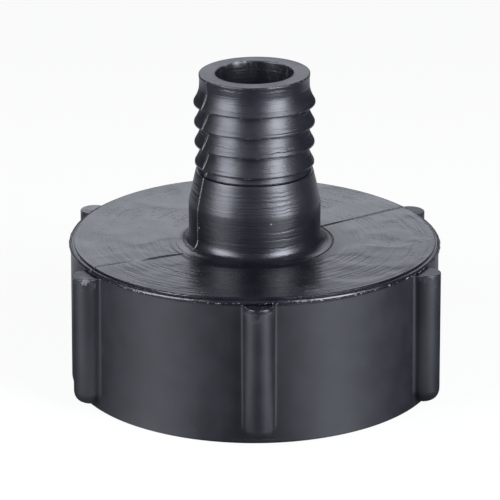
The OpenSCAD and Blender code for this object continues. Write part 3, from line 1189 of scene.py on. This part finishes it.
def black_rubber():
    """Dull rubber with talc in patches, a fine grain and faint rings."""
    material, shader, wiring = new_material("black_rubber")
    place = wiring.place_in_mm()
    rings = wiring.group(RINGS, Place=place, Pitch=0.8, Waver=0.6)
    talc = wiring.group(SCUFFS, Place=place, Size=0.5, Share=0.4)
    pale_marks = broken_mark(wiring, place, "edge", 0.6, 0.6)
    grain = wiring.noise(place, 4.0, 3.0)
    cloud = wiring.noise(place, 0.15, 2.0)
    colour = wiring.mix(wiring.ramp(cloud, 0.3, 0.7), RUBBER, GREY_RUBBER)
    pale = wiring.maths("MINIMUM", wiring.sum_of((talc, 0.25), (pale_marks, 0.3)), 1.0)
    wiring.put(shader.inputs["Base Color"], wiring.mix(pale, colour, TALC))
    wiring.put(shader.inputs["Roughness"], wiring.ramp(grain, 0.2, 0.8, 0.6, 0.78))
    set_relief(wiring, shader, wiring.sum_of((rings, 0.4), (grain, 0.4)), RUBBER_RELIEF_MM)
    return material


gasket.data.materials.append(black_rubber())

# %% [markdown]
# The studio is plain: a white floor and surround, and two large soft boxes that reach down almost
# to the floor, one on each side of the camera. The camera sees plain white, and the lamps alone
# light the object, so a colour looks about as it is written. Black plastic shows little but what it
# mirrors, so what mirror rays see is set apart: there the floor glows with painted light, white
# behind the object and in two painted pools of light under the boxes, and dark elsewhere, which
# gives the wall its dark middle.

# %% Floor
COOL = (0.9, 0.94, 1.04)
WHITE = (1, 1, 1, 1)
FLOOR_HALF = 3.0
FLOOR_GLOW_SEEN = 0.92
FLOOR_GLOW_MIRRORED = 0.9
FLOOR_GREY = 0.05
POOL_FRONT = 0.02
PAINTED_FLOOR_POOLS = ((-60, 1.35), (46, 1.45))
FLOOR_POOL_WIDTH = 0.36
BEHIND_SPREAD = 0.45
BEHIND_FROM, BEHIND_TO = -0.01, 0.03
FADE_FROM, FADE_TO = 0.15, 0.32
LIT_SHARE = 0.82


def by_ray(wiring, camera_share, glossy_share):
    """One number for rays of the camera or through glass, one for mirror rays, none for light."""
    path = wiring.node("LightPath")
    seen = wiring.maths("MAXIMUM", path["Is Camera Ray"], path["Is Transmission Ray"])
    glossy = wiring.times(path["Is Glossy Ray"], glossy_share)
    return wiring.maths("MAXIMUM", wiring.times(seen, camera_share), glossy)


def cool_unless_seen(wiring):
    """White for the camera, and a little blue for every other ray."""
    return wiring.mix(by_ray(wiring, 1.0, 0.0), (*COOL, 1), WHITE)


def floor_in_mirror(wiring, x, y):
    """Painted light that mirrors see on the floor: white behind the object and in painted pools of
    light, each a bell curve of the turn round a place under the cap's front, and all of it fading
    with the distance."""
    spread = wiring.times(wiring.maths("ABSOLUTE", x), BEHIND_SPREAD)
    behind = wiring.maths("SUBTRACT", y, spread)
    turn = wiring.maths("ARCTAN2", x, wiring.maths("SUBTRACT", -POOL_FRONT, y))
    # Painted pools of light under the soft boxes, seen only in mirrors.
    painted_pools = wiring.sum_of(*(
        (wiring.bell(turn, math.radians(at), FLOOR_POOL_WIDTH), white) for at, white in PAINTED_FLOOR_POOLS
    ))
    white = wiring.total(painted_pools, wiring.ramp(behind, BEHIND_FROM, BEHIND_TO))
    fade = wiring.ramp(wiring.reach(x, y), FADE_FROM, FADE_TO, 1.0, 0.0)
    return wiring.maths("MAXIMUM", wiring.times(white, fade), FLOOR_GREY)


def floor_piece():
    """A flat square under the rim, partly its own white and partly lit, so it keeps a shadow."""
    mesh = bpy.data.meshes.new("floor")
    side = FLOOR_HALF
    corners = [(-side, -side, 0), (side, -side, 0), (side, side, 0), (-side, side, 0)]
    mesh.from_pydata(corners, [], [(0, 1, 2, 3)])
    floor = in_scene("floor", mesh)
    material, lit, wiring = new_material("floor_white")
    lit.inputs["Base Color"].default_value = (LIT_SHARE, LIT_SHARE, LIT_SHARE, 1)
    lit.inputs["Roughness"].default_value = 0.9
    x, y, _ = wiring.parts(wiring.node("TexCoord")["Object"])
    strength = by_ray(wiring, 1.0, floor_in_mirror(wiring, x, y))
    glow = wiring.node("Emission", {"Strength": strength, "Color": cool_unless_seen(wiring)})
    share = by_ray(wiring, FLOOR_GLOW_SEEN, FLOOR_GLOW_MIRRORED)
    mixed = wiring.node("MixShader", {"Fac": share, 1: lit.outputs["BSDF"], 2: glow[0]})
    wiring.put(material.node_tree.nodes["Material Output"].inputs["Surface"], mixed[0])
    mesh.materials.append(material)
    return floor


floor = floor_piece()

# %% Surround
LIGHT_FROM_SURROUND = 0.06
FRONT_GREY = 0.05
BACK_WHITE = 1.32
LOW_SHARE = 0.05
HIGH_SHARE = 2.3
SIDE_SHARES = (1.14, 0.88)
BACK_FROM, BACK_TO = 0.55, 0.97
HIGH_FROM, HIGH_TO = 0.12, 0.52


def surround():
    """White for the camera. Mirror rays see white behind the object, brighter higher up, and
    dark in front of it, and as light it is weak."""
    world = bpy.data.worlds.new("surround")
    bpy.context.scene.world = world
    world.use_nodes = True
    wiring = Wiring(world.node_tree)
    background = world.node_tree.nodes["Background"]
    side, back, up = wiring.parts(wiring.node("TexCoord")["Generated"])
    behind = wiring.times(
        wiring.ramp(back, BACK_FROM, BACK_TO, FRONT_GREY, BACK_WHITE),
        wiring.ramp(up, HIGH_FROM, HIGH_TO, LOW_SHARE, HIGH_SHARE),
        wiring.ramp(side, -0.5, 0.5, *SIDE_SHARES),
    )
    strength = wiring.maths("MAXIMUM", by_ray(wiring, 1.0, behind), LIGHT_FROM_SURROUND)
    wiring.put(background.inputs["Strength"], strength)
    wiring.put(background.inputs["Color"], cool_unless_seen(wiring))


surround()

# %% Soft boxes
OBJECT_MIDDLE = 0.03
BOX_LIFT, BOX_DISTANCE, BOX_HEIGHT = 21, 0.5, 0.42


def soft_box(name, turn, lift, distance, size, white):
    """A rectangular lamp at a turn and a lift from the object's middle, aimed at it. Its power is
    four times its area times how many times white it looks."""
    data = bpy.data.lights.new(name, "AREA")
    data.shape = "RECTANGLE"
    data.size, data.size_y = size
    data.energy = 4 * size[0] * size[1] * white
    data.color = COOL
    lamp = in_scene(name, data)
    middle = Vector((0, 0, OBJECT_MIDDLE))
    lamp.matrix_world = looking_at(middle, math.radians(turn), math.radians(lift), distance)
    print(name, "looks", white, "times white at", round(data.energy, 2), "W")
    return lamp


soft_box("left_box", -59, BOX_LIFT, BOX_DISTANCE, (0.28, BOX_HEIGHT), 8.3)
soft_box("right_box", 47, BOX_LIFT, BOX_DISTANCE, (0.25, BOX_HEIGHT), 12.2)
bpy.context.scene.view_settings.view_transform = "Standard"
